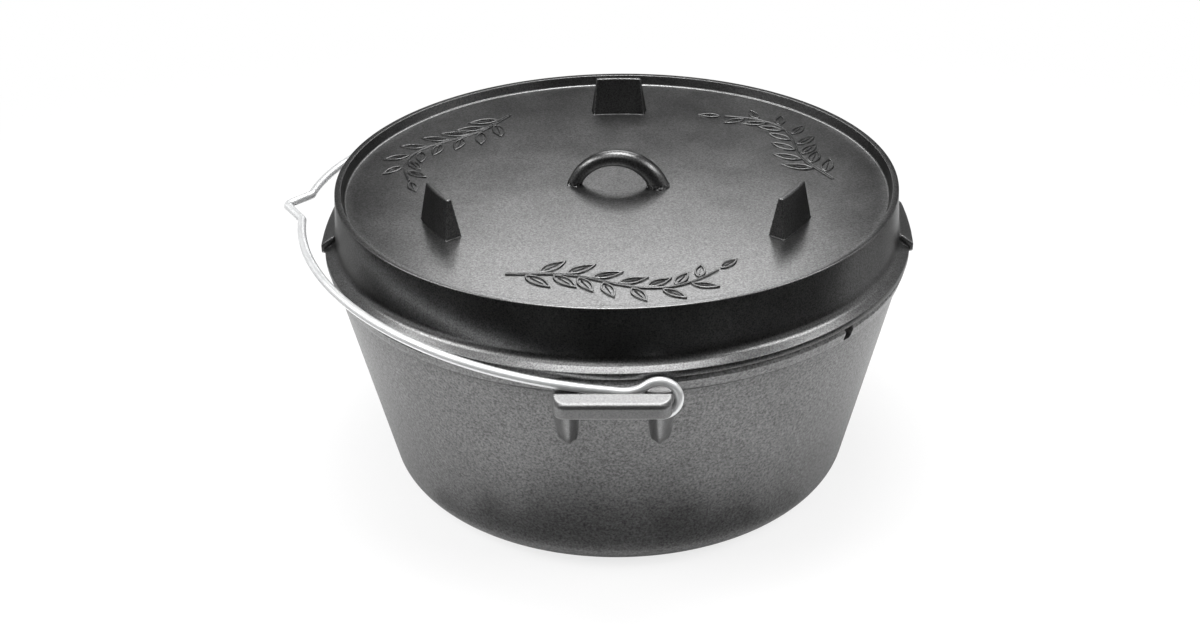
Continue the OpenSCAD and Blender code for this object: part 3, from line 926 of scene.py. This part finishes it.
def build_bail():
    """Round wire: an eye, a neck and a leg at each end, a half-round arch and a V-shaped kink.
    One half is drawn flat, X along the bail, Y across it and Z square to its plane, and then mirrored."""
    neck_d = math.sqrt((EYE_R + EYE_BEND) ** 2 - (NECK_H + EYE_BEND) ** 2)
    neck_angle = math.atan2(NECK_H + EYE_BEND, neck_d)
    eye_sweep = 2 * math.pi - neck_angle - EYE_OPENING
    tip_d = BAIL_LEG + ARCH_R + KINK_H - KINK_BEND
    shoulder_r = ARCH_R + KINK_BEND
    shoulder_d = BAIL_LEG + shoulder_r * math.cos(KINK_HALF)
    shoulder = Vector((shoulder_d, shoulder_r * math.sin(KINK_HALF), NECK_H))
    reach = math.hypot(shoulder.x - tip_d, shoulder.y)
    kink_turn = math.atan2(shoulder.y, shoulder.x - tip_d) - math.acos(2 * KINK_BEND / reach)
    flank = math.sqrt(reach ** 2 - (2 * KINK_BEND) ** 2)

    # the wire's end is a ring square to the bend of the eye
    bm = bmesh.new()
    ring = bmesh.ops.create_circle(bm, cap_ends=False, radius=WIRE_R, segments=24)["verts"]
    end_edges = bm.edges[:]
    end_angle = neck_angle + eye_sweep
    out = Vector((math.cos(end_angle), 0, math.sin(end_angle)))
    side = Vector((0, 1, 0))
    square = Matrix((out, side, out.cross(side))).transposed().to_4x4()
    place = Matrix.Translation(Vector((0, ARCH_R, 0)) + out * EYE_R)
    bmesh.ops.transform(bm, matrix=place @ square, verts=ring)

    def bend(geom, centre, axis, angle, steps):
        return bmesh.ops.spin(bm, geom=geom, cent=centre, axis=axis, dvec=(0, 0, 0),
                              angle=angle, steps=steps)["geom_last"]

    def run(geom, step):
        made = bmesh.ops.extrude_edge_only(bm, edges=only(bmesh.types.BMEdge, geom))["geom"]
        verts = only(bmesh.types.BMVert, made)
        bmesh.ops.translate(bm, vec=step, verts=verts)
        return verts + only(bmesh.types.BMEdge, made)

    across = (0, 1, 0)
    upright = (0, 0, 1)
    leg_steps = 3
    last = bend(ring + end_edges, (0, ARCH_R, 0), across, eye_sweep, steps=56)
    last = bend(last, (neck_d, ARCH_R, NECK_H + EYE_BEND), across, neck_angle - math.pi / 2, steps=12)
    for _ in range(leg_steps):
        last = run(last, ((BAIL_LEG - neck_d) / leg_steps, 0, 0))
    last = bend(last, (BAIL_LEG, 0, NECK_H), upright, KINK_HALF - math.pi / 2, steps=64)
    last = bend(last, shoulder, upright, kink_turn - KINK_HALF, steps=8)
    last = run(last, Vector((math.sin(kink_turn), -math.cos(kink_turn), 0)) * flank)
    bend(last, (tip_d, 0, NECK_H), upright, -kink_turn, steps=8)
    cap = bmesh.ops.contextual_create(bm, geom=end_edges)["faces"][0]
    round_edges(bm, cap.edges[:], WIRE_END_ROUND, segments=3)
    bmesh.ops.mirror(bm, geom=whole(bm), matrix=Matrix.Identity(4), merge_dist=0.01, axis="Y")

    # the bail lies folded down to the left
    bmesh.ops.scale(bm, vec=(-1, 1, 1), verts=bm.verts)
    bmesh.ops.rotate(bm, verts=bm.verts, cent=(0, 0, 0), matrix=Matrix.Rotation(BAIL_TILT, 3, "Y"))
    bmesh.ops.translate(bm, vec=(ARM_X, 0, EYE_Z), verts=bm.verts)
    set_piece(bm, "bail_wire", "bail", STEEL, ["bail_arch", "bail_front_leg", "bail_rear_leg"])


build_pot()
build_ear("front_ear", math.pi)
build_ear("rear_ear", 0)
build_lid()
for foot, foot_az in (("lid_foot_back", 90), ("lid_foot_left", 210), ("lid_foot_right", -30)):
    build_foot(foot, math.radians(foot_az))
build_lug("lid_lug_left", math.pi)
build_lug("lid_lug_right", 0)
build_handle()
build_sprigs()
build_bail()


# Studio

def set_camera():
    """Camera at the photograph's place."""
    turn = Matrix.Rotation(CAMERA_YAW, 3, "Z")
    ahead = turn @ Vector((0, math.cos(CAMERA_PITCH), -math.sin(CAMERA_PITCH)))
    right = turn @ Vector((1, 0, 0))
    up = right.cross(ahead)
    rolled_right = right * math.cos(CAMERA_ROLL) + up * math.sin(CAMERA_ROLL)
    rolled_up = up * math.cos(CAMERA_ROLL) - right * math.sin(CAMERA_ROLL)
    data = bpy.data.cameras.new("photo_camera")
    data.sensor_width = SENSOR_W
    data.lens = SENSOR_W * FOCAL / PHOTO_W
    data.shift_x = (PHOTO_W / 2 - CENTRE_X) / PHOTO_W
    data.shift_y = (CENTRE_Y - PHOTO_H / 2) / PHOTO_W
    data.clip_end = 50
    camera = bpy.data.objects.new("photo_camera", data)
    bpy.context.scene.collection.objects.link(camera)
    facing = Matrix((rolled_right, rolled_up, -ahead)).transposed().to_4x4()
    camera.matrix_world = Matrix.Translation(CAMERA_AT) @ facing
    bpy.context.scene.camera = camera


def seen_share(tree, camera, mirrored):
    """How far a backdrop shows itself plain white: to the camera, and to reflections."""
    path = add(tree, "ShaderNodeLightPath")
    glints = add(tree, "ShaderNodeMath", {
        0: path.outputs["Is Glossy Ray"], 1: path.outputs["Is Transmission Ray"]}, operation="MAXIMUM")
    glint_share = add(tree, "ShaderNodeMath", {
        0: glints.outputs["Value"], 1: mirrored}, operation="MULTIPLY")
    shown = add(tree, "ShaderNodeMath", {
        0: path.outputs["Is Camera Ray"], 1: camera, 2: glint_share.outputs["Value"]},
        operation="MULTIPLY_ADD")
    return shown.outputs["Value"]


def light_world():
    """Grey light from all round that looks plain white to the camera."""
    world = bpy.data.worlds.new("studio")
    bpy.context.scene.world = world
    world.use_nodes = True
    tree = world.node_tree
    tree.nodes.clear()
    ambient = add(tree, "ShaderNodeBackground", {"Color": linear("#c8c8c8"), "Strength": 0.2})
    white = add(tree, "ShaderNodeBackground", {"Color": linear("#ffffff"), "Strength": 1.0})
    shown = add(tree, "ShaderNodeMixShader", {
        0: seen_share(tree, 1.0, WORLD_MIRRORED), 1: ambient.outputs["Background"],
        2: white.outputs["Background"]})
    add(tree, "ShaderNodeOutputWorld", {"Surface": shown.outputs["Shader"]})


def white_floor_paint():
    """Matt white paint: it keeps a soft shadow by the oven and fades to plain white away from it."""
    material, tree = new_material("white_floor_paint")
    matt = add(tree, "ShaderNodeBsdfDiffuse", {"Color": linear("#f4f4f4"), "Roughness": 0.5})
    plain = add(tree, "ShaderNodeEmission", {"Color": linear("#ffffff"), "Strength": 1.0})
    place = add(tree, "ShaderNodeTexCoord").outputs["Object"]
    far = add(tree, "ShaderNodeVectorMath", {0: place}, operation="LENGTH")
    fade = add(tree, "ShaderNodeMapRange", {
        "Value": far.outputs["Value"], "From Min": SHADOW_R, "From Max": PLAIN_R,
        "To Min": SHADOW_WHITE, "To Max": 1.0})
    mixed = add(tree, "ShaderNodeMixShader", {
        0: seen_share(tree, fade.outputs["Result"], FLOOR_MIRRORED), 1: matt.outputs["BSDF"],
        2: plain.outputs["Emission"]})
    add(tree, "ShaderNodeOutputMaterial", {"Surface": mixed.outputs["Shader"]})
    return material


def card_paper(name, colour):
    """Matt paper, with no shine of its own."""
    material, tree = new_material(name)
    matt = add(tree, "ShaderNodeBsdfDiffuse", {"Color": linear(colour), "Roughness": 0.8})
    add(tree, "ShaderNodeOutputMaterial", {"Surface": matt.outputs["BSDF"]})
    return material


def new_prop(bm, name, material):
    """Object for the set that the oven stands in."""
    mesh = bpy.data.meshes.new(name)
    bm.to_mesh(mesh)
    bm.free()
    mesh.materials.append(material)
    prop = bpy.data.objects.new(name, mesh)
    bpy.context.scene.collection.objects.link(prop)
    return prop


def lay_floor():
    """Wide floor just under the pot's base."""
    bm = bmesh.new()
    bmesh.ops.create_grid(bm, x_segments=1, y_segments=1, size=FLOOR_HALF)
    floor = new_prop(bm, "floor", white_floor_paint())
    floor.location.z = FLOOR_Z


def set_card(name, colour, profile, back, start, sweep):
    """Curved card that only reflections see, and that gives the iron its tones."""
    bm = bmesh.new()
    corners = [bm.verts.new((r, 0, z)) for r, z in profile]
    for pair in zip(corners, corners[1:]):
        bm.edges.new(pair)
    turn_to(bm, math.radians(start))
    bmesh.ops.spin(bm, geom=whole(bm), cent=(0, 0, 0), axis=(0, 0, 1), dvec=(0, 0, 0),
                   angle=math.radians(sweep), steps=48)
    bmesh.ops.translate(bm, vec=(0, back, 0), verts=bm.verts)
    card = new_prop(bm, name, card_paper(name + "_paper", colour))
    card.visible_camera = False
    card.visible_shadow = False
    card.visible_diffuse = False


def set_softbox(name, place, aim, width, depth, power):
    """Rectangular lamp that faces a point."""
    data = bpy.data.lights.new(name, "AREA")
    data.shape = "RECTANGLE"
    data.size = width
    data.size_y = depth
    data.energy = power
    light = bpy.data.objects.new(name, data)
    bpy.context.scene.collection.objects.link(light)
    light.location = place
    light.rotation_euler = (Vector(aim) - Vector(place)).to_track_quat("-Z", "Y").to_euler()


bpy.context.scene.view_settings.view_transform = "Standard"
set_camera()
light_world()
lay_floor()
for card_values in CARDS:
    set_card(*card_values)
for softbox_values in SOFTBOXES:
    set_softbox(*softbox_values)
